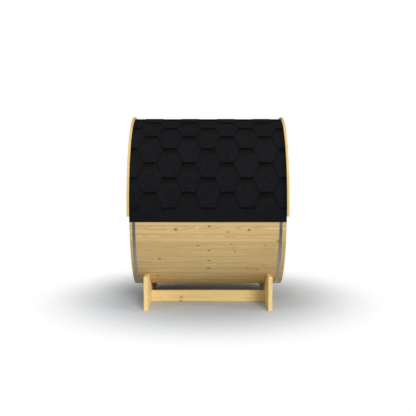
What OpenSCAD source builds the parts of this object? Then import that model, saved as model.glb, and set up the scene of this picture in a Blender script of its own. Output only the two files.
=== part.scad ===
/* [Barrel] */
// Outside diameter over the corners of the staves
barrel_d = 1940; // [1800:10:2200]
// Length of the staves
barrel_len = 1700; // [1500:10:2400]
// Thickness of a stave
stave_t = 42; // [34:1:50]
// Number of staves round the barrel
stave_count = 64; // [48:8:72]
// Radius of the bead along one edge of a stave
bead_r = 6; // [4:0.5:8]
// Bevel along the outer edges of a stave and of a wall board
bevel = 2; // [1:0.5:4]
// Open joint between two neighbouring pieces of wood
joint_gap = 0.3; // [0.2:0.05:0.4]

/* [Cradles] */
// Height of the barrel's underside above the ground
clearance = 180; // [150:5:300]
// Length of a cradle plank across the barrel
cradle_w = 1700; // [1400:10:1800]
// Height of a cradle's horns above the barrel's underside
horn_h = 205; // [160:5:240]
// Thickness of a cradle plank
cradle_t = 45; // [35:1:60]
// Distance of a cradle's middle from its end of the barrel
cradle_inset = 163; // [140:1:300]
// Rounding of the horns' outer corners
horn_r = 6; // [4:1:40]
// Depth of the stretcher's top below the barrel's underside
stretcher_drop = 50; // [20:5:80]
// Thickness of the stretcher
stretcher_t = 45; // [35:1:60]
// Distance of the stretcher's front face from the middle plane
stretcher_y = 288; // [150:1:400]

/* [Hoops] */
// Width of a steel hoop
hoop_w = 30; // [20:1:50]
// Thickness of a steel hoop
hoop_t = 2; // [1.5:0.5:4]
// Distance of the left hoop's middle from its end of the barrel
hoop_inset_left = 47; // [30:1:70]
// Distance of the right hoop's middle from its end of the barrel
hoop_inset_right = 60; // [30:1:70]
// Angle of a hoop's open ends from the bottom, round towards the rear
hoop_turn = 55; // [40:1:70]
// Open gap between the ends of a hoop
hoop_gap = 40; // [25:1:60]
// Depth of the lugs bent out at the ends of a hoop
lug_h = 34; // [28:1:45]
// Diameter of the bolt that tightens a hoop
bolt_d = 10; // [8:1:12]
// Width of the bolt's head and nut across the flats
nut_w = 17; // [13:1:19]
// Thickness of the bolt's head and nut
nut_t = 8; // [6:1:10]
// Length of bolt that stands past its nut
bolt_spare = 14; // [6:1:25]

/* [Roof] */
// Angle of the roof below the level of the axis at each eave
eave_deg = 8.4; // [4:0.1:12]
// Shingle courses on one side above the level of the axis
course_count = 9; // [7:1:12]
// Thickness of a course at its upper edge
course_top_t = 4; // [3:0.5:6]
// Thickness of a course at its lower edge
course_low_t = 8; // [6:0.5:12]

/* [Fascia arches] */
// Thickness of an arch
fascia_t = 25; // [18:1:35]
// Depth of an arch along the radius
fascia_depth = 71; // [50:1:74]
// Height of an arch above the staves
fascia_rise = 31; // [20:1:45]
// Angle of an arch below the level of the axis at each end
fascia_deg = 4.8; // [0:0.1:8]
// Sawn segments in one arch
fascia_segments = 8; // [6:1:12]

/* [End walls] */
// Thickness of the end wall boards
wall_t = 42; // [34:1:50]
// Distance of an end wall's outer face from the end of the barrel
wall_inset = 85; // [80:1:150]
// Depth of the groove in the staves that holds an end wall
groove_depth = 12; // [8:1:16]
// Boards across the rear wall
rear_boards = 14; // [10:1:16]
// Boards on each side of the door
side_boards = 5; // [4:1:6]
// Boards over and under the door
door_boards = 5; // [4:1:7]

/* [Door] */
// Width of the doorway
door_w = 650; // [560:5:720]
// Height of wall over the doorway, up to the inside of the staves
head_h = 127; // [100:1:180]
// Thickness of the door frame
frame_t = 30; // [22:1:40]
// Depth of the door frame past each face of the wall
frame_proud = 12; // [6:1:20]
// Clearance round the door leaf
leaf_gap = 3; // [2:0.5:5]
// Width of the leaf's stiles and top rail
stile_w = 92; // [70:1:120]
// Height of the leaf's bottom rail
kick_h = 150; // [110:5:200]
// Thickness of the glass
glass_t = 8; // [6:1:10]
// Depth of the groove that holds the glass
glass_bite = 10; // [6:1:14]
// Length of a door handle
handle_len = 420; // [300:10:600]
// Width of a door handle's bar
handle_w = 32; // [24:1:40]
// Thickness of a door handle's bar
handle_t = 22; // [16:1:30]
// Diameter of a door handle's posts
post_d = 20; // [14:1:24]
// Distance of a post from the end of its handle
post_inset = 48; // [30:1:80]
// Clear space behind a door handle
handle_reach = 36; // [30:1:50]
// Length of a hinge
hinge_len = 100; // [70:5:120]
// Diameter of a hinge's knuckle
hinge_d = 14; // [12:1:18]
// Width of a hinge's flap
flap_w = 24; // [18:1:26]
// Thickness of a hinge's flap
flap_t = 2; // [1.5:0.5:3]
// Distance of a hinge's middle from the end of the leaf
hinge_inset = 205; // [120:5:300]

/* [Floor] */
// Height of the floor's top above the inside of the bottom staves
floor_h = 187; // [140:1:240]
// Thickness of a floor slat
slat_t = 20; // [16:1:28]
// Width of a floor slat
slat_w = 95; // [70:1:120]
// Gap between floor slats
slat_gap = 12; // [6:1:20]
// Thickness of a floor bearer
bearer_t = 45; // [35:1:60]
// Distance of an outer bearer's middle from the end of the slats
bearer_inset = 140; // [60:5:300]

/* [Hidden] */
$fn = 96;

stave_deg = 360 / stave_count;
half_deg = stave_deg / 2;
barrel_r = barrel_d / 2;
axis_h = clearance + barrel_r;
half_len = barrel_len / 2;
sector_staves = stave_count / 8;
// Distance from the axis to the flat outer and inner faces of a stave
face_out = barrel_r * cos(half_deg);
face_in = face_out - stave_t;
face_mid = face_out - stave_t / 2;
// Place of a stave's edge at half its thickness, clear of the joint
edge_mid = face_mid * tan(half_deg) - joint_gap / 2 / cos(half_deg);

cradle_h = clearance + horn_h;
cradle_x = half_len - cradle_inset;
stretcher_h = clearance - stretcher_drop;

course_deg = 90 / course_count;
courses_all = course_count + 1;
courses_low = floor(courses_all / 2);
course_steps = 4;
hoop_r = barrel_r + joint_gap / 2;
hoop_x = [-half_len + hoop_inset_left, half_len - hoop_inset_right];
// Height of a hoop's bolt, midway down the lugs
bolt_z = axis_h - hoop_r - hoop_t - lug_h / 2;
roof_r = hoop_r + hoop_t + joint_gap;

fascia_out = barrel_r + fascia_rise;
fascia_in = fascia_out - fascia_depth;
fascia_span = 180 + 2 * fascia_deg;
fascia_step = fascia_span / fascia_segments;

// The end walls stop just short of the bottom of their groove
wall_r = face_in + groove_depth - joint_gap;
wall_x = half_len - wall_inset - wall_t;
wood_light = "burlywood";
wood_warm = "tan";

floor_drop = face_in - floor_h;
door_head = face_in - head_h;
door_sill = -floor_drop;
door_h = door_head - door_sill;
frame_in_w = door_w - 2 * frame_t;
frame_in_h = door_h - 2 * frame_t;
leaf_w = frame_in_w - 2 * leaf_gap;
leaf_h = frame_in_h - 2 * leaf_gap;
leaf_z = door_sill + frame_t + leaf_gap;
pane_w = leaf_w - 2 * stile_w;
pane_h = leaf_h - stile_w - kick_h;
pane_z = leaf_z + kick_h;
frame_x = wall_x - frame_proud;
frame_depth = wall_t + 2 * frame_proud;
leaf_x0 = wall_x;
leaf_x1 = wall_x + wall_t;
handle_y = leaf_w / 2 - stile_w / 2;
handle_z = leaf_z + leaf_h / 2;
hinge_z = [leaf_z + hinge_inset, leaf_z + leaf_h - hinge_inset];

floor_len = 2 * (wall_x - frame_proud) - 2 * slat_gap;
bearer_x = floor_len / 2 - bearer_inset;
bearer_top = floor_drop + slat_t;
floor_half = sqrt(pow(face_in, 2) - pow(bearer_top, 2));
slat_pitch = slat_w + slat_gap;
slat_count = floor((2 * floor_half - 2 * slat_t + slat_gap) / slat_pitch);

// Stand a section drawn across the barrel, with its axis at the origin, along the barrel from x0
module along(x0, len) {
    translate([x0, 0, axis_h]) rotate([90, 0, 90]) linear_extrude(len) children();
}

// Bar of the given corners, with heights measured from the axis
module bar(x0, x1, y0, y1, z0, z1) {
    translate([x0, y0, axis_h + z0]) cube([x1 - x0, y1 - y0, z1 - z0]);
}

// Round bar along the barrel
module round_bar(x0, x1, r) {
    translate([x0, 0, axis_h]) rotate([0, 90, 0]) cylinder(h = x1 - x0, r = r, $fn = 128);
}

// Mirror a piece from the right end to the left end
module left_end() {
    mirror([1, 0, 0]) children();
}

// Cradle plank with a round seat for the barrel
module cradle() {
    corner = cradle_w / 2 - horn_r;
    difference() {
        translate([-cradle_t / 2, 0, 0]) rotate([90, 0, 90]) linear_extrude(cradle_t)
            polygon(concat(
                [[-cradle_w / 2, 0], [cradle_w / 2, 0]],
                [for (a = [0 : 15 : 90]) [corner + horn_r * cos(a), cradle_h - horn_r + horn_r * sin(a)]],
                [for (a = [90 : 15 : 180]) [-corner + horn_r * cos(a), cradle_h - horn_r + horn_r * sin(a)]]
            ));
        round_bar(-cradle_t, cradle_t, barrel_r + joint_gap);
    }
}

module cradle_left() {
    color(wood_light) translate([-cradle_x, 0, 0]) cradle();
}

module cradle_right() {
    color(wood_light) translate([cradle_x, 0, 0]) cradle();
}

// Stretcher between the cradles, standing on the ground
module stretcher() {
    len = 2 * cradle_x - cradle_t - 2 * joint_gap;
    color(wood_light) translate([-len / 2, -stretcher_y, 0]) cube([len, stretcher_t, stretcher_h]);
}

// Point beside the edge of a stave: along the edge from its middle, and out from it
function beside_edge(along_edge, out) =
    [edge_mid + along_edge * sin(half_deg) + out * cos(half_deg),
     face_mid + along_edge * cos(half_deg) - out * sin(half_deg)];

// Mirror a point to the other edge of the stave
function other_edge(p) = [-p[0], p[1]];

// Section of one stave standing on its radius, with a bead on one edge and a cove on the other
module stave_section() {
    half_edge = stave_t / 2 / cos(half_deg);
    cove_r = bead_r + joint_gap;
    cove_a = acos(joint_gap / cove_r);
    polygon(concat(
        [other_edge(beside_edge(-half_edge, 0)), beside_edge(-half_edge, 0)],
        [for (i = [-3 : 3]) beside_edge(bead_r * sin(i * 30), bead_r * cos(i * 30))],
        [beside_edge(half_edge - bevel, 0), beside_edge(half_edge, -bevel)],
        [other_edge(beside_edge(half_edge, -bevel)), other_edge(beside_edge(half_edge - bevel, 0))],
        [for (i = [3 : -1 : -3])
            let (a = i * cove_a / 3) other_edge(beside_edge(cove_r * sin(a), joint_gap - cove_r * cos(a)))]
    ));
}

// One stave with the flat-bottomed grooves for both end walls
module stave() {
    wide = barrel_r * sin(stave_deg);
    cut_t = wall_t + 2 * joint_gap;
    difference() {
        along(-half_len, barrel_len) stave_section();
        for (side = [0, 1]) mirror([side, 0, 0])
            bar(wall_x - joint_gap, wall_x - joint_gap + cut_t, -wide, wide,
                face_in - groove_depth, face_in + groove_depth);
    }
}

// Eighth of the barrel, counted from the bottom round by the front
module stave_sector(sector) {
    color(wood_warm) for (i = [0 : sector_staves - 1]) {
        turn = 180 - (sector * sector_staves + i + 0.5) * stave_deg;
        translate([0, 0, axis_h]) rotate([turn, 0, 0]) translate([0, 0, -axis_h]) stave();
    }
}

module bottom_front_staves() {
    stave_sector(0);
}

module lower_front_staves() {
    stave_sector(1);
}

module upper_front_staves() {
    stave_sector(2);
}

module top_front_staves() {
    stave_sector(3);
}

module top_rear_staves() {
    stave_sector(4);
}

module upper_rear_staves() {
    stave_sector(5);
}

module lower_rear_staves() {
    stave_sector(6);
}

module bottom_rear_staves() {
    stave_sector(7);
}

// Turn a piece round the axis from the bottom towards the rear
module hoop_turned() {
    translate([0, 0, axis_h]) rotate([hoop_turn, 0, 0]) translate([0, 0, -axis_h]) children();
}

// Steel hoop centred at a place along the barrel, drawn open at the bottom, with its ends bent out as lugs
module hoop(x) {
    lug_top = -hoop_r - hoop_t / 2;
    hole_r = bolt_d / 2 + joint_gap;
    color("dimgray") difference() {
        union() {
            difference() {
                round_bar(x - hoop_w / 2, x + hoop_w / 2, hoop_r + hoop_t);
                round_bar(x - hoop_w, x + hoop_w, hoop_r);
                bar(x - hoop_w, x + hoop_w, -hoop_gap / 2, hoop_gap / 2, -barrel_r - lug_h, 0);
            }
            for (side = [0, 1]) mirror([0, side, 0])
                bar(x - hoop_w / 2, x + hoop_w / 2, hoop_gap / 2, hoop_gap / 2 + hoop_t,
                    lug_top - lug_h, lug_top);
        }
        translate([x, 0, bolt_z]) rotate([90, 0, 0]) cylinder(h = 2 * hoop_gap, r = hole_r, center = true);
    }
}

module hoop_left() {
    hoop_turned() hoop(hoop_x[0]);
}

module hoop_right() {
    hoop_turned() hoop(hoop_x[1]);
}

// Bolt with a six-sided head and nut through the lugs of each hoop
module hoop_bolts() {
    lug_y = hoop_gap / 2 + hoop_t;
    color("silver") hoop_turned() for (x = hoop_x)
        translate([x, -lug_y - nut_t, bolt_z]) rotate([-90, 0, 0]) {
            cylinder(h = 2 * lug_y + 2 * nut_t + bolt_spare, d = bolt_d);
            for (z = [0, 2 * lug_y + nut_t])
                translate([0, 0, z]) cylinder(h = nut_t, d = nut_w / cos(30), $fn = 6);
        }
}

// Section of one shingle course on the rear slope between two angles above the level of the axis
module course_section(low, high) {
    step = (high - low) / course_steps;
    grow = (course_low_t - course_top_t) / course_steps;
    polygon(concat(
        [for (i = [0 : course_steps]) let (a = low + i * step) roof_r * [cos(a), sin(a)]],
        [for (i = [course_steps : -1 : 0])
            let (a = low + i * step, r = roof_r + course_low_t - i * grow) r * [cos(a), sin(a)]]
    ));
}

// Run of shingle courses on the rear slope, counted up from the eave
module courses(first, last) {
    gap_deg = joint_gap / roof_r * 180 / PI;
    len = barrel_len - joint_gap;
    color("darkslategray") for (i = [first : last]) {
        low = i == 0 ? -eave_deg : (i - 1) * course_deg;
        along(-len / 2, len) course_section(low, i * course_deg - gap_deg);
    }
}

module roof_front_lower() {
    mirror([0, 1, 0]) courses(0, courses_low - 1);
}

module roof_front_upper() {
    mirror([0, 1, 0]) courses(courses_low, courses_all - 1);
}

module roof_rear_upper() {
    courses(courses_low, courses_all - 1);
}

module roof_rear_lower() {
    courses(0, courses_low - 1);
}

// Arch of sawn segments over the right end of the staves
module fascia() {
    gap_deg = joint_gap / fascia_in * 180 / PI;
    color(wood_light) translate([half_len, 0, axis_h]) rotate([90, 0, 90])
        for (i = [0 : fascia_segments - 1])
            rotate([0, 0, -fascia_deg + i * fascia_step])
                rotate_extrude(angle = fascia_step - gap_deg, $fn = 128)
                    translate([fascia_in, 0]) square([fascia_depth, fascia_t]);
}

module fascia_left() {
    left_end() fascia();
}

module fascia_right() {
    fascia();
}

// Section of an upright board, bevelled along its outer edges
module board_section(y0, y1) {
    x1 = wall_x + wall_t;
    polygon([
        [wall_x, y0], [x1 - bevel, y0], [x1, y0 + bevel],
        [x1, y1 - bevel], [x1 - bevel, y1], [wall_x, y1]
    ]);
}

// Upright boards side by side, cut to the round of the end wall
module wall_boards(count, y0, y1, z0, z1) {
    pitch = (y1 - y0) / count;
    color(wood_warm) for (i = [0 : count - 1])
        intersection() {
            round_bar(wall_x - wall_t, wall_x + 2 * wall_t, wall_r);
            translate([0, 0, axis_h + z0]) linear_extrude(z1 - z0)
                board_section(y0 + i * pitch + joint_gap / 2, y0 + (i + 1) * pitch - joint_gap / 2);
        }
}

module rear_wall() {
    left_end() wall_boards(rear_boards, -wall_r, wall_r, -wall_r, wall_r);
}

module door_wall_front() {
    wall_boards(side_boards, -wall_r, -door_w / 2, -wall_r, wall_r);
}

module door_wall_rear() {
    wall_boards(side_boards, door_w / 2, wall_r, -wall_r, wall_r);
}

module door_wall_head() {
    wall_boards(door_boards, -door_w / 2, door_w / 2, door_head, wall_r);
}

module door_wall_sill() {
    wall_boards(door_boards, -door_w / 2, door_w / 2, -wall_r, door_sill);
}

// Two jambs, a head and a threshold that line the doorway
module door_frame() {
    out_y = door_w / 2 - joint_gap / 2;
    in_y = out_y - frame_t;
    low = door_sill + joint_gap / 2;
    high = door_head - joint_gap / 2;
    color(wood_light) {
        for (side = [0, 1]) mirror([0, side, 0])
            bar(frame_x, frame_x + frame_depth, in_y, out_y, low, high);
        for (z = [low, high - frame_t])
            bar(frame_x, frame_x + frame_depth, -in_y + joint_gap, in_y - joint_gap, z, z + frame_t);
    }
}

// Groove for the glass in the stiles and rails
module glass_groove() {
    mid_x = (leaf_x0 + leaf_x1) / 2;
    slot = glass_t / 2 + joint_gap;
    bar(mid_x - slot, mid_x + slot, -pane_w / 2 - glass_bite, pane_w / 2 + glass_bite,
        pane_z - glass_bite, pane_z + pane_h + glass_bite);
}

module door_stiles() {
    color(wood_light) difference() {
        for (side = [0, 1]) mirror([0, side, 0])
            bar(leaf_x0, leaf_x1, pane_w / 2, leaf_w / 2, leaf_z, leaf_z + leaf_h);
        glass_groove();
    }
}

module door_rails() {
    reach = pane_w / 2 - joint_gap;
    color(wood_light) difference() {
        union() {
            bar(leaf_x0, leaf_x1, -reach, reach, leaf_z, leaf_z + kick_h);
            bar(leaf_x0, leaf_x1, -reach, reach, pane_z + pane_h, leaf_z + leaf_h);
        }
        glass_groove();
    }
}

module door_glass() {
    mid_x = (leaf_x0 + leaf_x1) / 2;
    bite = glass_bite - joint_gap;
    color("lightcyan", 0.4)
        bar(mid_x - glass_t / 2, mid_x + glass_t / 2, -pane_w / 2 - bite, pane_w / 2 + bite,
            pane_z - bite, pane_z + pane_h + bite);
}

// Wooden bar on two posts, standing off the outer face of the leaf
module handle() {
    bar_x = leaf_x1 + handle_reach;
    post_z = handle_len / 2 - post_inset;
    color("peru") {
        bar(bar_x, bar_x + handle_t, handle_y - handle_w / 2, handle_y + handle_w / 2,
            handle_z - handle_len / 2, handle_z + handle_len / 2);
        for (s = [-1, 1])
            translate([leaf_x1, handle_y, axis_h + handle_z + s * post_z])
                rotate([0, 90, 0]) cylinder(h = handle_reach, d = post_d);
    }
}

module door_handle_outside() {
    handle();
}

module door_handle_inside() {
    translate([leaf_x0 + leaf_x1, 0, 0]) mirror([1, 0, 0]) handle();
}

// Butt hinges: a knuckle in front of the gap and a flap on the leaf and on the frame
module door_hinges() {
    gap_y = -leaf_w / 2 - leaf_gap / 2;
    face_x = frame_x + frame_depth;
    color("silver") for (z = hinge_z) {
        translate([face_x + hinge_d / 2, gap_y, axis_h + z - hinge_len / 2])
            cylinder(h = hinge_len, d = hinge_d);
        bar(face_x, face_x + flap_t, gap_y - flap_w, gap_y, z - hinge_len / 2, z + hinge_len / 2);
        bar(leaf_x1, face_x + hinge_d / 2, gap_y, gap_y + hinge_d / 2,
            z - hinge_len / 2, z + hinge_len / 2);
        bar(leaf_x1, leaf_x1 + flap_t, gap_y, gap_y + flap_w, z - hinge_len / 2, z + hinge_len / 2);
    }
}

// Bearers with a round underside that lie in the bottom of the barrel
module floor_bearers() {
    color(wood_warm) for (x = [-bearer_x, 0, bearer_x])
        intersection() {
            x0 = x - bearer_t / 2;
            round_bar(x0, x0 + bearer_t, face_in - joint_gap);
            bar(x0 - bearer_t, x0 + 2 * bearer_t, -barrel_r, barrel_r, -barrel_r, -bearer_top);
        }
}

module floor_slats() {
    first = -(slat_count * slat_pitch - slat_gap) / 2;
    color(wood_light) for (i = [0 : slat_count - 1])
        bar(-floor_len / 2, floor_len / 2, first + i * slat_pitch, first + i * slat_pitch + slat_w,
            -bearer_top, -floor_drop);
}

cradle_left();
cradle_right();
stretcher();
bottom_front_staves();
lower_front_staves();
upper_front_staves();
top_front_staves();
top_rear_staves();
upper_rear_staves();
lower_rear_staves();
bottom_rear_staves();
hoop_left();
hoop_right();
hoop_bolts();
roof_front_lower();
roof_front_upper();
roof_rear_upper();
roof_rear_lower();
fascia_left();
fascia_right();
rear_wall();
door_wall_front();
door_wall_rear();
door_wall_head();
door_wall_sill();
door_frame();
door_stiles();
door_rails();
door_glass();
door_handle_outside();
door_handle_inside();
door_hinges();
floor_bearers();
floor_slats();
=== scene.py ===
import math
import random

import bmesh
import bpy
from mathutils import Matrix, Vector


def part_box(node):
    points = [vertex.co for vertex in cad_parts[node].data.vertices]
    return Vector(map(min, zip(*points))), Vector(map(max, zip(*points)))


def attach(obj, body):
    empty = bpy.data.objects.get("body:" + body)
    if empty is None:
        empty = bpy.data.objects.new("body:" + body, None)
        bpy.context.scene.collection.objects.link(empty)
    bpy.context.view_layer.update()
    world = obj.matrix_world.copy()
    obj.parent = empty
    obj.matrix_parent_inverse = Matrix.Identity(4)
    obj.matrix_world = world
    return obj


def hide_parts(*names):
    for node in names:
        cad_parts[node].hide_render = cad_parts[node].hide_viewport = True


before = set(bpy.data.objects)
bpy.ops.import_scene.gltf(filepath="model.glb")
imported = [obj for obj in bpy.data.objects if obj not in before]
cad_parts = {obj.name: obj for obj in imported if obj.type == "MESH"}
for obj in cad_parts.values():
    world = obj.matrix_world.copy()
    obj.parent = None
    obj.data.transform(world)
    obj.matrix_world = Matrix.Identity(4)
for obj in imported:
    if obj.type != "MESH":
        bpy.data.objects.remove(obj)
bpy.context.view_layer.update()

# Construction nodes that are dressed in groups
SIDES = ("front", "rear")
STAVES = [f"{level}_{side}_staves" for level in ("bottom", "lower", "upper", "top") for side in SIDES]
ROOF = [f"roof_{side}_{level}" for side in SIDES for level in ("lower", "upper")]
WALLS = ["rear_wall", "door_wall_front", "door_wall_rear", "door_wall_head", "door_wall_sill"]

# The barrel's axis and outside, the room for a hoop, and the roof over it, in metres and degrees
BARREL_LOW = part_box("bottom_front_staves")[0].z
BARREL_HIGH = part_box("top_front_staves")[1].z
AXIS_H = (BARREL_HIGH + BARREL_LOW) / 2
BARREL_R = (BARREL_HIGH - BARREL_LOW) / 2
HOOP_ROOM = 0.00245
ROOF_R = BARREL_R + HOOP_ROOM
ROOF_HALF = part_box("roof_front_lower")[1].x
EAVE_DEG = -8.4

# Angle of each course's lower edge above the axis, as the photo shows them, and of the ridge
COURSE_AT = (0.0, 10.0, 19.4, 29.6, 40.5, 51.8, 62.0, 71.5, 80.8, 90.0)
COURSES = len(COURSE_AT) - 1

# Six-sided shingles: flat lower edge, slanted side, tabs counted from the middle, and their tones
TAB_FLAT = 0.140
TAB_SLANT = 0.070
TAB_PERIOD = 2 * (TAB_FLAT + TAB_SLANT)
TABS = range(-4, 5)
TAB_TONES = 12
SLANT_STEPS = 4

# Felt: thickness, and height of its outside over the roof's underside at the course's own level
SHINGLE_T = 0.003
SHINGLE_RISE = 3 * SHINGLE_T

# Dark rim along a cut edge, black bitumen with painted shade, in metres and in courses, share that is
# fully dark, and strength on a slant
RIM_W = 0.017
RIM = math.degrees(RIM_W / ROOF_R) / COURSE_AT[1]
RIM_FULL = 0.6
SLANT_RIM = 0.6

# Painted shadow of the next course on this one: height in courses, and strength below a slant
PAINTED_SHADE_H = 0.44
SLANT_PAINTED_SHADE = 0.3

# Rows of a course: dark ones at the rim, first one in full painted shade, and least height between two
RIM_ROWS = 2
PAINTED_SHADE_ROW = 6
ROW_GAP = 0.02

# Lap past the second course above, and height of the top course's notches, in courses
LAP = 0.2
TOP_NOTCH = 0.7

# Caps over the ridge: half of the angle each one spans, steps in it, and how deep they sink
CAPS = range(-2, 2)
CAP_DEG = 5.0
CAP_STEPS = 6
CAP_SINK = 0.9 * SHINGLE_T

# Arches over the ends, and their screws: radius of the ring, shares of a segment, size of a head
FASCIA_DEG = 4.8
FASCIA_SEGMENTS = 8
FASCIA_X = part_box("fascia_right")[1].x
FASCIA_SCREW_RING = 0.950
FASCIA_SCREWS_AT = (0.12, 0.5, 0.88)
FASCIA_SCREW_R = 0.0045

# Screws in the cradles, at shares of the stretcher's height
CRADLE_SCREWS_AT = (0.3, 0.7)
CRADLE_SCREW_R = 0.006

# Hinges of the door, and the screws in each flap
HINGE_LEN = 0.100
FLAP_T = 0.002
FLAP_SCREW_Y = 0.015
FLAP_SCREW_STEP = 0.034
FLAP_SCREW_R = 0.0038

# Section of a screw head from its rim to its socket, as shares of its radius
SCREW_SECTION = ((1.0, 0.0), (0.93, 0.20), (0.50, 0.30), (0.42, 0.06))
SCREW_SIDES = 12

# Eased edges, and the angles past which an edge is eased and past which it is shaded sharp
PLANK_EDGE = 0.003
BOARD_EDGE = 0.002
HANDLE_EDGE = 0.004
HANDLE_STEPS = 3
EASED_DEG = 30
SHARP_DEG = 25

# Corners this near are welded, and faces that differ by no more than this angle in radians are joined
WELD = 1e-6
FLAT_ANGLE = 0.002

# A bevel leans this much towards the board's face, as a cosine, and hardly along the board
BEVEL_LEAN = (0.4, 0.9)
BEVEL_SKEW = 0.3

# Where a board lies in its log: depth of the pith, place along the log and shift across it
PITH_DEPTH = (0.03, 0.12)
LOG_LEN = 40
LOG_SHIFT = 0.05

# Wood: width of a yearly ring, places for knots in a metre, and share of them that hold one
RING_W = 0.0042
WOOD_ROUGH = 0.6
KNOTS_ALONG = 4.2
KNOTS_ACROSS = 6.5
KNOT_SHARE = 0.32
SPRUCE = {"early": (0.68, 0.500, 0.240), "late": (0.52, 0.330, 0.122), "knot": (0.20, 0.090, 0.032)}
PLANED = {"early": (0.77, 0.580, 0.262), "late": (0.64, 0.425, 0.152), "knot": (0.20, 0.085, 0.030)}
SAWN = {"early": (0.71, 0.515, 0.215), "late": (0.58, 0.370, 0.122), "knot": (0.20, 0.085, 0.030)}
ALDER = {"early": (0.40, 0.21, 0.09), "late": (0.27, 0.12, 0.045), "knot": (0.10, 0.04, 0.02)}
ASPEN = {"early": (0.62, 0.50, 0.33), "late": (0.52, 0.38, 0.21), "knot": (0.22, 0.11, 0.05)}

# Knots that can be made out on the front of the barrel: place along it, angle and size
STAVE_KNOTS = [
    (-0.350, -13.6, 1.1), (0.014, -11.5, 0.9), (0.445, -14.0, 1.0), (0.213, -15.4, 0.7),
    (-0.109, -25.2, 0.7), (0.252, -24.1, 0.6), (0.629, -24.9, 0.6), (0.767, -21.8, 1.0),
    (0.008, -29.2, 0.7), (0.297, -30.0, 0.6), (-0.535, -36.2, 0.9), (0.011, -37.9, 0.9),
    (0.006, -45.8, 1.0), (0.443, -45.8, 0.7), (0.551, -47.6, 0.7),
]
# Knots on the stretcher: place and size
STRETCHER_KNOTS = [((-0.312, -0.288, 0.049), 0.9), ((-0.317, -0.288, 0.007), 0.9)]

# Mineral grains in a metre of felt, their colours, and the black of cut edges and of the painted shade
# along them and below the next course
GRAINS = 420.0
GRAIN_DARK = (0.0044, 0.0047, 0.0056)
GRAIN_MIDDLE = (0.0072, 0.0075, 0.0086)
GRAIN_PALE = (0.024, 0.025, 0.028)
EDGE_BLACK_AND_PAINTED_SHADE = (0.0020, 0.0020, 0.0023)

# Steel: colour, roughness and width of a zinc crystal
HOOP_ZINC = {"colour": (0.60, 0.61, 0.635), "rough": 0.36, "crystal": 0.012}
SATIN_STEEL = {"colour": (0.46, 0.47, 0.48), "rough": 0.42, "crystal": 0.006}

# Camera fitted to the photo: lens and sensor in millimetres, place, and tilt up from straight down
LENS = 70.6
SENSOR = 36.0
CAMERA_AT = (0.0, -9.718, 1.923)
CAMERA_TILT = 85.0

# Floor: radius, drop below the feet, and distances between which it fades out, shorter along x
FLOOR_R = 3.6
FLOOR_DROP = 0.001
FLOOR_FADE = (0.8, 2.5)
FLOOR_STRETCH = (1.15, 1.0, 0.0)


def on_barrel(x, deg, r):
    """Point of the front half at a place along the barrel and an angle above the level of its axis."""
    a = math.radians(deg)
    return Vector((x, -r * math.cos(a), AXIS_H + r * math.sin(a)))


def times(colour, factor):
    """Colour made lighter or darker by a factor."""
    return [c * factor for c in colour]


class Tree:
    """Material whose nodes are added one call at a time."""

    def __init__(self, name):
        self.material = bpy.data.materials.new(name)
        self.material.use_nodes = True
        self.nodes = self.material.node_tree.nodes
        self.links = self.material.node_tree.links
        self.bsdf = self.nodes["Principled BSDF"]

    def add(self, kind, inputs, **settings):
        node = self.nodes.new("ShaderNode" + kind)
        for key, value in settings.items():
            setattr(node, key, value)
        for key, value in inputs.items():
            self.feed(node.inputs[key], value)
        return node

    def feed(self, socket, value):
        """Link a socket to another one, or give it a constant value."""
        if isinstance(value, bpy.types.NodeSocket):
            self.links.new(value, socket)
        else:
            socket.default_value = value

    def shade(self, **inputs):
        """Feed the shader's own sockets, named with underscores for spaces."""
        for key, value in inputs.items():
            self.feed(self.bsdf.inputs[key.replace("_", " ")], value)

    def attribute(self, name, output):
        return self.add("Attribute", {}, attribute_name=name).outputs[output]

    def place(self):
        return self.add("TexCoord", {}).outputs["Object"]

    def math(self, operation, a, b=0.0):
        return self.add("Math", {0: a, 1: b}, operation=operation).outputs[0]

    def scaled(self, vector, scale):
        return self.add("VectorMath", {0: vector, 1: scale}, operation="MULTIPLY").outputs[0]

    def noise(self, vector, scale=1.0, detail=2.0, roughness=0.5):
        inputs = {"Vector": vector, "Scale": scale, "Detail": detail, "Roughness": roughness}
        return self.add("TexNoise", inputs).outputs["Fac"]

    def cells(self, vector, scale=1.0):
        return self.add("TexVoronoi", {"Vector": vector, "Scale": scale})

    def chance(self, cells):
        """Random number of each cell."""
        return self.add("SeparateColor", {"Color": cells.outputs["Color"]}).outputs["Red"]

    def span(self, value, low, high, to_low=0.0, to_high=1.0):
        """Value eased from the range between low and high to another range."""
        inputs = {"Value": value, "From Min": low, "From Max": high, "To Min": to_low, "To Max": to_high}
        return self.add("MapRange", inputs, interpolation_type="SMOOTHSTEP").outputs["Result"]

    def worn(self, pattern, rough):
        """Roughness that varies a little with a pattern."""
        return self.span(pattern, 0.2, 0.8, rough - 0.08, rough + 0.10)

    def ramp(self, value, *stops):
        node = self.add("ValToRGB", {"Fac": value})
        points = node.color_ramp.elements
        while len(points) < len(stops):
            points.new(0.5)
        for point, (where, colour) in zip(points, stops):
            point.position = where
            point.color = (*colour, 1.0)
        return node.outputs["Color"]

    def mix(self, factor, a, b, blend="MIX"):
        node = self.add("Mix", {0: factor}, data_type="RGBA", blend_type=blend)
        for socket, value in ((node.inputs[6], a), (node.inputs[7], b)):
            self.feed(socket, value if isinstance(value, bpy.types.NodeSocket) else (*value, 1.0))
        return node.outputs[2]

    def toned(self, colour, light):
        """Colour made lighter or darker by a number from another node."""
        grey = self.add("CombineColor", {0: light, 1: light, 2: light}).outputs[0]
        return self.mix(1.0, colour, grey, "MULTIPLY")

    def bump(self, height, distance, strength, normal=None):
        inputs = {"Height": height, "Distance": distance, "Strength": strength}
        if normal:
            inputs["Normal"] = normal
        return self.add("Bump", inputs).outputs["Normal"]


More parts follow.
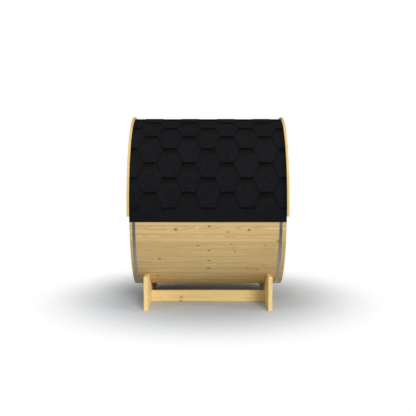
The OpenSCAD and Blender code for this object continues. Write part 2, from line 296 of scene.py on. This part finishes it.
def knot_distance(tree, grain, spots):
    """Distance from the nearest scattered or chosen knot, about 0.05 at the knot's edge."""
    cells = tree.cells(tree.scaled(grain, (KNOTS_ALONG, KNOTS_ACROSS, 0.0)))
    absent = tree.math("GREATER_THAN", tree.chance(cells), KNOT_SHARE)
    nearest = tree.math("ADD", cells.outputs["Distance"], absent)
    if spots:
        stretch = (KNOTS_ALONG, KNOTS_ACROSS, KNOTS_ACROSS)
        here = tree.scaled(tree.place(), stretch)
        for spot, size in spots:
            there = [a * b for a, b in zip(spot, stretch)]
            gap = tree.add("VectorMath", {0: here, 1: there}, operation="DISTANCE").outputs["Value"]
            nearest = tree.math("MINIMUM", nearest, tree.math("DIVIDE", gap, size))
    return nearest


def yearly_rings(tree, grain, knots):
    """Share of late wood in rings that run round the pith and bend round the knots."""
    axes = tree.add("SeparateXYZ", {0: grain})
    across = tree.math("POWER", axes.outputs["Y"], 2.0)
    deep = tree.math("POWER", axes.outputs["Z"], 2.0)
    radius = tree.math("SQRT", tree.math("ADD", across, deep))
    wobble = tree.noise(tree.scaled(grain, (1.1, 5.0, 5.0)), detail=3.0)
    radius = tree.math("ADD", radius, tree.math("MULTIPLY", wobble, 0.030))
    bulge = tree.span(knots, 0.0, 0.22, 0.012, 0.0)
    rings = tree.math("FRACT", tree.math("DIVIDE", tree.math("ADD", radius, bulge), RING_W))
    return tree.span(rings, 0.35, 0.92)


def knotted(tree, colour, knots, late, knot):
    """Colour with a halo of late wood and a heart at each knot."""
    colour = tree.mix(tree.span(knots, 0.04, 0.18, 0.75, 0.0), colour, late)
    core = times(knot, 1.5)
    bark = times(knot, 0.6)
    heart = tree.ramp(tree.span(knots, 0.0, 0.055), (0.0, core), (0.75, knot), (1.0, bark))
    return tree.mix(tree.span(knots, 0.040, 0.066, 1.0, 0.0), colour, heart)


def wood(name, early, late, knot, spread=1.0, spots=()):
    """Sawn wood: yearly rings, streaks and fibres along the grain, knots, and a tint for each board."""
    tree = Tree(name)
    grain = tree.attribute("grain", "Vector")
    tint = tree.attribute("tint", "Fac")
    knots = knot_distance(tree, grain, spots)
    year = yearly_rings(tree, grain, knots)
    streaks = tree.noise(tree.scaled(grain, (1.6, 55.0, 55.0)), detail=4.0, roughness=0.6)
    fibres = tree.noise(tree.scaled(grain, (9.0, 900.0, 900.0)))

    colour = tree.mix(tree.math("MULTIPLY", year, 0.55), early, late)
    colour = tree.toned(colour, tree.span(streaks, 0.30, 0.72, 0.89, 1.07))
    dark, plain, pale = (0.92, 0.90, 0.86), (1.0, 0.99, 0.97), (1.05, 1.06, 1.08)
    board = tree.ramp(tint, (0.0, dark), (0.5, plain), (1.0, pale))
    colour = tree.mix(spread, colour, board, "MULTIPLY")
    colour = knotted(tree, colour, knots, late, knot)
    seam = tree.math("MULTIPLY", tree.attribute("seam", "Fac"), 0.5)
    colour = tree.mix(seam, colour, times(late, 0.3))

    relief = tree.math("ADD", tree.math("MULTIPLY", year, 0.5), fibres)
    tree.shade(
        Base_Color=colour,
        Roughness=tree.worn(streaks, WOOD_ROUGH),
        Specular_IOR_Level=0.15,
        Normal=tree.bump(relief, 0.0004, 0.35),
    )
    return tree.material


def shingle_felt():
    """Bitumen felt dressed with mineral grains, black along each cut edge with painted shade there too,
    and with painted shade below the next course.
    """
    tree = Tree("shingle_felt")
    place = tree.place()
    grains = tree.cells(place, GRAINS)
    patches = tree.noise(place, 14.0, 4.0, 0.65)
    tone = tree.math("MULTIPLY", tree.attribute("tint", "Fac"), 0.18)
    light = tree.math("ADD", tree.span(patches, 0.25, 0.75, 0.82, 1.02), tone)
    colour = tree.ramp(tree.chance(grains), (0.0, GRAIN_DARK), (0.8, GRAIN_MIDDLE), (1.0, GRAIN_PALE))
    # Painted shade below the next course, then the dark rim: black cut edge with painted shade along it
    shade = tree.math("MULTIPLY", tree.attribute("shade", "Fac"), 0.75)
    colour = tree.mix(shade, tree.toned(colour, light), EDGE_BLACK_AND_PAINTED_SHADE)
    colour = tree.mix(tree.attribute("rim", "Fac"), colour, EDGE_BLACK_AND_PAINTED_SHADE)
    tree.shade(
        Base_Color=colour,
        Roughness=0.95,
        Specular_IOR_Level=0.05,
        Normal=tree.bump(grains.outputs["Distance"], 0.0008, 0.6, tree.bump(patches, 0.002, 0.4)),
    )
    return tree.material


def steel(name, colour, rough, crystal):
    """Zinc-coated steel with a faint pattern of crystals and fine scratches."""
    tree = Tree(name)
    place = tree.place()
    crystals = tree.cells(place, 1.0 / crystal)
    scuffs = tree.noise(tree.scaled(place, (40.0, 300.0, 300.0)), detail=3.0)
    tree.shade(
        Base_Color=tree.mix(tree.chance(crystals), times(colour, 0.85), times(colour, 1.15)),
        Metallic=1.0,
        Roughness=tree.worn(scuffs, rough),
        Normal=tree.bump(scuffs, 0.0002, 0.2),
    )
    return tree.material


def pane_glass():
    """Toughened glass with a faint green tint and light smears, which lets the lamps through."""
    tree = Tree("pane_glass")
    smears = tree.noise(tree.scaled(tree.place(), (4.0, 4.0, 1.5)), detail=4.0)
    tree.shade(
        Base_Color=(0.90, 0.96, 0.94, 1.0),
        Transmission_Weight=1.0,
        IOR=1.45,
        Roughness=tree.span(smears, 0.45, 0.75, 0.0, 0.06),
    )
    shadow = tree.add("LightPath", {}).outputs["Is Shadow Ray"]
    clear = tree.add("BsdfTransparent", {"Color": (0.86, 0.92, 0.90, 1.0)}).outputs[0]
    both = tree.add("MixShader", {0: shadow, 1: tree.bsdf.outputs[0], 2: clear}).outputs[0]
    tree.feed(tree.nodes["Material Output"].inputs["Surface"], both)
    return tree.material


def new_mesh(bm, name, material):
    """Mesh made from a finished bmesh."""
    mesh = bpy.data.meshes.new(name)
    bm.to_mesh(mesh)
    bm.free()
    mesh.materials.append(material)
    return mesh


def new_object(name, data):
    """Object that is part of the scene."""
    obj = bpy.data.objects.new(name, data)
    bpy.context.scene.collection.objects.link(obj)
    return obj


def finish_piece(bm, name, material, nodes):
    """Turn a bmesh into a shown piece that stands for some construction nodes."""
    mesh = new_mesh(bm, name, material)
    if mesh.has_custom_normals:
        mesh.attributes.remove(mesh.attributes["custom_normal"])
    mesh.shade_smooth()
    mesh.set_sharp_from_angle(angle=math.radians(SHARP_DEG))
    piece = new_object(name, mesh)
    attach(piece, "root")
    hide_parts(*nodes)


def islands(bm):
    """Vertices of each separate solid."""
    left = set(bm.verts)
    found = []
    for start in bm.verts:
        if start not in left:
            continue
        left.discard(start)
        group, front = [start], [start]
        while front:
            for edge in front.pop().link_edges:
                for vert in edge.verts:
                    if vert in left:
                        left.discard(vert)
                        group.append(vert)
                        front.append(vert)
        found.append(group)
    return found


def grain_axes(kind, centre, size):
    """Directions along the grain, across the board and through it."""
    x, y, z = Vector((1, 0, 0)), Vector((0, 1, 0)), Vector((0, 0, 1))
    out = Vector((0, centre.y, centre.z - AXIS_H)).normalized()
    if kind == "stave":
        return x, x.cross(out), out
    if kind == "arc":
        return x.cross(out), out, x
    if kind == "upright":
        return z, y, x
    order = sorted(zip(size, (x, y, z)), key=lambda pair: -pair[0])
    return tuple(axis for _, axis in order)


def mark_bevels(group, axes, seam):
    """Mark the faces that slope from a board's face down into a joint."""
    along, _, through = axes
    least, most = BEVEL_LEAN
    for face in {face for vert in group for face in vert.link_faces}:
        leaning = least < abs(face.normal.dot(through)) < most
        lengthwise = abs(face.normal.dot(along)) < BEVEL_SKEW
        for loop in face.loops:
            loop[seam] = float(leaning and lengthwise)


def lay_grain(bm, kind, rng):
    """Give each solid its own place in a log and its own tint."""
    grain = bm.verts.layers.float_vector.new("grain")
    tint = bm.verts.layers.float.new("tint")
    seam = bm.loops.layers.float.new("seam")
    for group in islands(bm):
        low = Vector([min(v.co[i] for v in group) for i in range(3)])
        high = Vector([max(v.co[i] for v in group) for i in range(3)])
        centre = (low + high) / 2
        axes = grain_axes(kind, centre, high - low)
        if kind in ("stave", "upright"):
            mark_bevels(group, axes, seam)
        pith = rng.choice((-1, 1)) * rng.uniform(*PITH_DEPTH)
        offset = Vector((rng.uniform(0, LOG_LEN), rng.uniform(-LOG_SHIFT, LOG_SHIFT), pith))
        shade = rng.random()
        for vert in group:
            away = vert.co - centre
            vert[grain] = Vector([away.dot(axis) for axis in axes]) + offset
            vert[tint] = shade


def dress(node, kind, material, edge=0.0, steps=1):
    """Show a wooden node with eased edges and a grain of its own."""
    bm = bmesh.new()
    bm.from_mesh(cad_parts[node].data)
    bmesh.ops.remove_doubles(bm, verts=bm.verts, dist=WELD)
    bmesh.ops.dissolve_limit(bm, angle_limit=FLAT_ANGLE, verts=bm.verts, edges=bm.edges)
    if edge:
        sharp = [e for e in bm.edges if e.calc_face_angle(0.0) > math.radians(EASED_DEG)]
        bmesh.ops.bevel(
            bm, geom=sharp, offset=edge, segments=steps, profile=0.5, affect="EDGES", clamp_overlap=True
        )
    lay_grain(bm, kind, random.Random(node))
    finish_piece(bm, node + "_wood", material, [node])


def tab_wave(x, shift):
    """Height of a course's lower edge, from 0 along a tab to 1 along the notch between two tabs."""
    away = abs((x - shift + TAB_PERIOD / 2) % TAB_PERIOD - TAB_PERIOD / 2)
    return min(max((away - TAB_FLAT / 2) / TAB_SLANT, 0.0), 1.0)


def course_angle(level):
    """Angle at a height given in courses; the strip at the eave lies below the first."""
    i = min(max(math.floor(level), 0), COURSES - 1)
    return COURSE_AT[i] + (level - i) * (COURSE_AT[i + 1] - COURSE_AT[i])


class Course:
    """One course of a slope: how its lower edge and the next course's run, and the tone of each tab."""

    def __init__(self, level, shades):
        self.level = level
        self.shift = (level % 2) * TAB_PERIOD / 2
        self.top = min(level + 2 + LAP, COURSES)
        self.tones = {self.shift + i * TAB_PERIOD: shades[i] for i in TABS}

    def edge(self, x):
        """Height of the lower edge above the course's level; the strip at the eave is straight."""
        if self.level < 0:
            return 1.0 + EAVE_DEG / COURSE_AT[1]
        return min(tab_wave(x, self.shift), TOP_NOTCH if self.level == COURSES - 1 else 1.0)

    def cover(self, x):
        """Height of the next course's lower edge above that course's level."""
        return tab_wave(x, self.shift + TAB_PERIOD / 2)

    def tone(self, x):
        """Tone of the nearest tab."""
        return self.tones[min(self.tones, key=lambda middle: abs(x - middle))]

    def columns(self):
        """Places along the roof where the lower edge has a corner, and some between them."""
        corners = {-ROOF_HALF, ROOF_HALF}
        for middle in self.tones:
            for side in (-1, 1):
                low = middle + side * TAB_FLAT / 2
                corners.update(low + side * TAB_SLANT * j / SLANT_STEPS for j in range(SLANT_STEPS + 1))
                corners.add(middle + side * TAB_FLAT / 4)
        return sorted(x for x in corners if abs(x) <= ROOF_HALF)

    def rows(self, x):
        """Heights of the rows in a column: three at the rim, three up the felt and three covered."""
        low = self.level + self.edge(x)
        lid = self.level + 1 + self.cover(x)
        fade = max(min(lid, self.top) - PAINTED_SHADE_H, low + RIM + ROW_GAP)
        lid = min(max(lid, fade + ROW_GAP), self.top - ROW_GAP)
        rim = [low, low + RIM_FULL * RIM, low + RIM]
        felt = [low + RIM + (fade - low - RIM) * share for share in (0.35, 0.7, 1.0)]
        return rim + felt + [lid, lid + (self.top - lid) * 0.5, self.top]

    def rim_black_and_shade(self, x):
        """How dark the rim of black cut edge and painted shade is: fully along a tab or a notch, less
        along a slant.
        """
        return 1.0 if self.edge(x) in (0.0, 1.0) else SLANT_RIM

    def painted_shade_dark(self, x):
        """How dark the painted shade below the next course is; the top course has none."""
        if self.level == COURSES - 1:
            return 0.0
        return 1.0 if self.cover(x) == 1.0 else SLANT_PAINTED_SHADE


def close_strip(bm, outer, inner):
    """Faces of a strip, from its columns of vertices outside and inside."""
    last = len(outer[0]) - 1
    for i in range(len(outer) - 1):
        for j in range(last):
            bm.faces.new((outer[i][j], outer[i + 1][j], outer[i + 1][j + 1], outer[i][j + 1]))
            bm.faces.new((inner[i][j], inner[i][j + 1], inner[i + 1][j + 1], inner[i + 1][j]))
        bm.faces.new((outer[i][0], inner[i][0], inner[i + 1][0], outer[i + 1][0]))
        bm.faces.new((outer[i][last], outer[i + 1][last], inner[i + 1][last], inner[i][last]))
    for i, flip in ((0, False), (len(outer) - 1, True)):
        for j in range(last):
            ring = [outer[i][j], outer[i][j + 1], inner[i][j + 1], inner[i][j]]
            bm.faces.new(reversed(ring) if flip else ring)


def add_course(bm, layers, course):
    """One curved strip of felt in front of the ridge, nearer to the barrel the higher it gets."""
    rim, shade, tint = layers
    outer, inner = [], []
    for x in course.columns():
        outer.append([])
        inner.append([])
        for i, level in enumerate(course.rows(x)):
            sunk = SHINGLE_T * (level - course.level)
            r = max(ROOF_R + SHINGLE_RISE - sunk, ROOF_R + SHINGLE_T)
            for line, radius in ((outer[-1], r), (inner[-1], r - SHINGLE_T)):
                vert = bm.verts.new(on_barrel(x, course_angle(level), radius))
                # Dark rim of black cut edge and painted shade in the first rows, painted shade below the
                # next course in the covered rows
                vert[rim] = course.rim_black_and_shade(x) if i < RIM_ROWS else 0.0
                vert[shade] = course.painted_shade_dark(x) if i >= PAINTED_SHADE_ROW else 0.0
                vert[tint] = course.tone(x)
                line.append(vert)
    close_strip(bm, outer, inner)


def felt_layers(bm):
    """Vertex layers that the felt's shader reads: dark rim of black cut edge and painted shade, painted
    shade below the next course, and tone.
    """
    return [bm.verts.layers.float.new(name) for name in ("rim", "shade", "tint")]


def shingle_slope(side, felt):
    """All courses of one slope, from the straight strip at the eave up to the ridge."""
    bm = bmesh.new()
    layers = felt_layers(bm)
    rng = random.Random(side)
    shades = [rng.random() for _ in range(TAB_TONES)]
    for level in range(-1, COURSES):
        rng.shuffle(shades)
        add_course(bm, layers, Course(level, shades))
    if side == "rear":
        bmesh.ops.scale(bm, vec=(1, -1, 1), verts=bm.verts)
        bmesh.ops.reverse_faces(bm, faces=bm.faces)
    finish_piece(bm, f"shingles_{side}", felt, [node for node in ROOF if side in node])


def cap_rows(bm, layers, middle, tone):
    """Rows of a cap across the ridge, each with four places along it, outside and inside in turn."""
    rim, _, tint = layers
    base = ROOF_R + SHINGLE_RISE - CAP_SINK
    rows = []
    for i in range(-CAP_STEPS, CAP_STEPS + 1):
        deg = CAP_DEG * i / CAP_STEPS
        half = TAB_FLAT / 2 + TAB_SLANT / 2 * (1 - abs(i) / CAP_STEPS)
        edge = abs(i) == CAP_STEPS
        row = []
        for s, cut in ((-half, True), (-half + RIM_W, edge), (half - RIM_W, edge), (half, True)):
            for r in (base + SHINGLE_T, base):
                vert = bm.verts.new(on_barrel(middle + s, 90 + deg, r))
                # Black cut edge with painted shade along it, at the cap's sides and its two ends
                vert[rim] = float(cut)
                vert[tint] = tone
                row.append(vert)
        rows.append(row)
    return rows


def close_cap(bm, rows):
    """Faces of a cap, from its rows of vertices."""
    spans = (0, 2, 4)
    for a, b in zip(rows, rows[1:]):
        for k in spans:
            bm.faces.new((a[k], a[k + 2], b[k + 2], b[k]))
            bm.faces.new((a[k + 1], b[k + 1], b[k + 3], a[k + 3]))
        bm.faces.new((a[0], b[0], b[1], a[1]))
        bm.faces.new((a[6], a[7], b[7], b[6]))
    for row, flip in ((rows[0], False), (rows[-1], True)):
        for k in spans:
            ring = [row[k], row[k + 1], row[k + 3], row[k + 2]]
            bm.faces.new(reversed(ring) if flip else ring)


def ridge_caps(felt):
    """Six-sided caps bent over the ridge where the notches of both slopes meet."""
    bm = bmesh.new()
    layers = felt_layers(bm)
    rng = random.Random("ridge")
    for i in CAPS:
        middle = (i + 0.5) * TAB_PERIOD
        close_cap(bm, cap_rows(bm, layers, middle, rng.random()))
    finish_piece(bm, "ridge_caps", felt, [])


def add_screw(bm, place, out, radius):
    """Domed screw head with a round socket, standing on a face that looks along out."""
    side = out.orthogonal().normalized()
    other = out.cross(side)
    rings = []
    for reach, height in SCREW_SECTION:
        ring = []
        for i in range(SCREW_SIDES):
            a = math.radians(360 / SCREW_SIDES * i)
            spoke = side * math.cos(a) + other * math.sin(a)
            ring.append(bm.verts.new(place + radius * (reach * spoke + height * out)))
        rings.append(ring)
    for low, high in zip(rings, rings[1:]):
        for i in range(SCREW_SIDES):
            bm.faces.new((low[i - 1], low[i], high[i], high[i - 1]))
    bm.faces.new(rings[-1])
    bm.faces.new(reversed(rings[0]))


def fascia_screws(metal):
    """Screws that hold each segment of the arches to the ends of the staves."""
    bm = bmesh.new()
    step = (180 + 2 * FASCIA_DEG) / FASCIA_SEGMENTS
    for end in (-1, 1):
        for i in range(FASCIA_SEGMENTS):
            for share in FASCIA_SCREWS_AT:
                deg = -FASCIA_DEG + (i + share) * step
                place = on_barrel(end * FASCIA_X, deg, FASCIA_SCREW_RING)
                add_screw(bm, place, Vector((end, 0, 0)), FASCIA_SCREW_R)
    finish_piece(bm, "fascia_screws", metal, [])


def cradle_screws(metal):
    """Two screws through each cradle into the end of the stretcher."""
    bm = bmesh.new()
    low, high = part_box("stretcher")
    middle = (low.y + high.y) / 2
    for node, end, face in (("cradle_left", -1, 0), ("cradle_right", 1, 1)):
        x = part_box(node)[face].x
        for share in CRADLE_SCREWS_AT:
            place = Vector((x, middle, high.z * share))
            add_screw(bm, place, Vector((end, 0, 0)), CRADLE_SCREW_R)
    finish_piece(bm, "cradle_screws", metal, [])


def hinge_screws(metal):
    """Three screws in each flap of both hinges."""
    bm = bmesh.new()
    low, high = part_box("door_hinges")
    middle = (low.y + high.y) / 2
    leaf_face = low.x + FLAP_T
    frame_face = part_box("door_frame")[1].x + FLAP_T
    for z in (low.z + HINGE_LEN / 2, high.z - HINGE_LEN / 2):
        for rise in (-FLAP_SCREW_STEP, 0.0, FLAP_SCREW_STEP):
            for side, face in ((-1, frame_face), (1, leaf_face)):
                place = Vector((face, middle + side * FLAP_SCREW_Y, z + rise))
                add_screw(bm, place, Vector((1, 0, 0)), FLAP_SCREW_R)
    finish_piece(bm, "hinge_screws", metal, [])


def paint(nodes, material):
    """Give construction nodes a finished material in place of their plain one."""
    for node in nodes:
        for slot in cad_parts[node].material_slots:
            slot.link = "OBJECT"
            slot.material = material


def build_wood():
    """All wooden pieces, each in the wood it is made of."""
    front_knots = [(on_barrel(x, deg, BARREL_R), size) for x, deg, size in STAVE_KNOTS]
    stave_wood = wood("stave_spruce", **SPRUCE, spots=front_knots)
    plank_wood = wood("plank_spruce", **PLANED, spread=0.4, spots=STRETCHER_KNOTS)
    fascia_wood = wood("fascia_spruce", **SAWN, spread=0.4)
    handle_wood = wood("handle_alder", **ALDER)
    floor_wood = wood("floor_aspen", **ASPEN)
    for node in STAVES:
        dress(node, "stave", stave_wood)
    for node in WALLS:
        dress(node, "upright", stave_wood)
    for node in ("cradle_left", "cradle_right", "stretcher"):
        dress(node, "long", plank_wood, PLANK_EDGE)
    for node in ("fascia_left", "fascia_right"):
        dress(node, "arc", fascia_wood, BOARD_EDGE)
    for node in ("door_frame", "door_stiles", "door_rails"):
        dress(node, "long", plank_wood, BOARD_EDGE)
    for node in ("door_handle_outside", "door_handle_inside"):
        dress(node, "long", handle_wood, HANDLE_EDGE, HANDLE_STEPS)
    for node in ("floor_slats", "floor_bearers"):
        dress(node, "long", floor_wood, BOARD_EDGE)


def build_roof():
    """Shingles on both slopes and caps over the ridge."""
    felt = shingle_felt()
    for side in SIDES:
        shingle_slope(side, felt)
    ridge_caps(felt)


def build_metal_and_glass():
    """Finish of the hoops, bolts, hinges and pane, and the screws."""
    paint(["hoop_left", "hoop_right"], steel("hoop_zinc", **HOOP_ZINC))
    satin = steel("satin_steel", **SATIN_STEEL)
    paint(["door_hinges", "hoop_bolts"], satin)
    paint(["door_glass"], pane_glass())
    fascia_screws(satin)
    cradle_screws(satin)
    hinge_screws(satin)


def studio_world(fill):
    """White for what the camera sees, also through glass, and a soft fill for the rest."""
    world = bpy.data.worlds.new("studio")
    world.use_nodes = True
    bpy.context.scene.world = world
    nodes = world.node_tree.nodes
    links = world.node_tree.links
    soft = nodes["Background"]
    soft.inputs["Color"].default_value = (0.96, 0.98, 1.0, 1.0)
    soft.inputs["Strength"].default_value = fill
    white = nodes.new("ShaderNodeBackground")
    white.inputs["Color"].default_value = (1.0, 1.0, 1.0, 1.0)
    white.inputs["Strength"].default_value = 1.0
    path = nodes.new("ShaderNodeLightPath")
    seen = nodes.new("ShaderNodeMath")
    seen.operation = "MAXIMUM"
    links.new(path.outputs["Is Camera Ray"], seen.inputs[0])
    links.new(path.outputs["Is Transmission Ray"], seen.inputs[1])
    mix = nodes.new("ShaderNodeMixShader")
    links.new(seen.outputs[0], mix.inputs[0])
    links.new(soft.outputs[0], mix.inputs[1])
    links.new(white.outputs[0], mix.inputs[2])
    links.new(mix.outputs[0], nodes["World Output"].inputs["Surface"])


def lamp(name, azimuth, elevation, strength, spread, colour):
    """Soft lamp far away, at an azimuth to the right of the front and a height in degrees."""
    data = bpy.data.lights.new(name, "SUN")
    data.energy = strength
    data.angle = math.radians(spread)
    data.color = colour
    a = math.radians(azimuth)
    e = math.radians(elevation)
    toward = Vector((math.sin(a) * math.cos(e), -math.cos(a) * math.cos(e), math.sin(e)))
    sun = new_object(name, data)
    sun.rotation_mode = "QUATERNION"
    sun.rotation_quaternion = (-toward).to_track_quat("-Z", "Y")


def back_spot(place, aim, power, cone):
    """Soft spot on the far side, aimed so that it leaves the ground under the barrel in the shade."""
    data = bpy.data.lights.new("back", "SPOT")
    data.energy = power
    data.spot_size = math.radians(cone)
    data.spot_blend = 0.6
    data.shadow_soft_size = 0.3
    spot = new_object("back", data)
    spot.location = place
    spot.rotation_euler = (Vector(aim) - Vector(place)).to_track_quat("-Z", "Y").to_euler()


def studio_lamps():
    """Key and side lamps in front, weaker ones on the left and overhead, and a spot at the rear."""
    cool = (0.98, 0.99, 1.0)
    lamp("key", azimuth=14.0, elevation=26.0, strength=1.95, spread=18.0, colour=(1.0, 0.99, 0.96))
    lamp("side", azimuth=65.0, elevation=8.0, strength=1.85, spread=20.0, colour=(1.0, 0.98, 0.94))
    lamp("fill", azimuth=-50.0, elevation=15.0, strength=0.78, spread=30.0, colour=cool)
    lamp("left", azimuth=-100.0, elevation=12.0, strength=0.42, spread=30.0, colour=cool)
    lamp("overhead", azimuth=0.0, elevation=75.0, strength=0.85, spread=70.0, colour=(1.0, 1.0, 1.0))
    back_spot(place=(0.0, 7.0, 1.2), aim=(0.0, 0.9, 1.7), power=850.0, cone=28.0)


def pale_floor():
    """Pale studio floor that fades out into the white backdrop."""
    tree = Tree("studio_floor")
    place = tree.place()
    reach = tree.scaled(place, FLOOR_STRETCH)
    away = tree.add("VectorMath", {0: reach}, operation="LENGTH").outputs["Value"]
    mottle = tree.noise(place, 3.0, 3.0)
    tree.shade(
        Base_Color=tree.ramp(mottle, (0.3, (0.50, 0.54, 0.595)), (0.7, (0.53, 0.56, 0.61))),
        Roughness=0.9,
        Specular_IOR_Level=0.1,
        Alpha=tree.span(away, *FLOOR_FADE, 1.0, 0.0),
    )
    bm = bmesh.new()
    bmesh.ops.create_circle(bm, cap_ends=True, segments=96, radius=FLOOR_R)
    floor = new_object("studio_floor", new_mesh(bm, "studio_floor", tree.material))
    floor.location.z = -FLOOR_DROP


def studio_camera():
    """Camera in front of the long side, a little above the axis, tilted down."""
    data = bpy.data.cameras.new("camera")
    data.sensor_width = SENSOR
    data.lens = LENS
    camera = new_object("camera", data)
    camera.location = CAMERA_AT
    camera.rotation_euler = (math.radians(CAMERA_TILT), 0.0, 0.0)
    bpy.context.scene.camera = camera
    bpy.context.scene.view_settings.view_transform = "Standard"


build_wood()
build_roof()
build_metal_and_glass()
studio_world(fill=0.10)
studio_lamps()
pale_floor()
studio_camera()
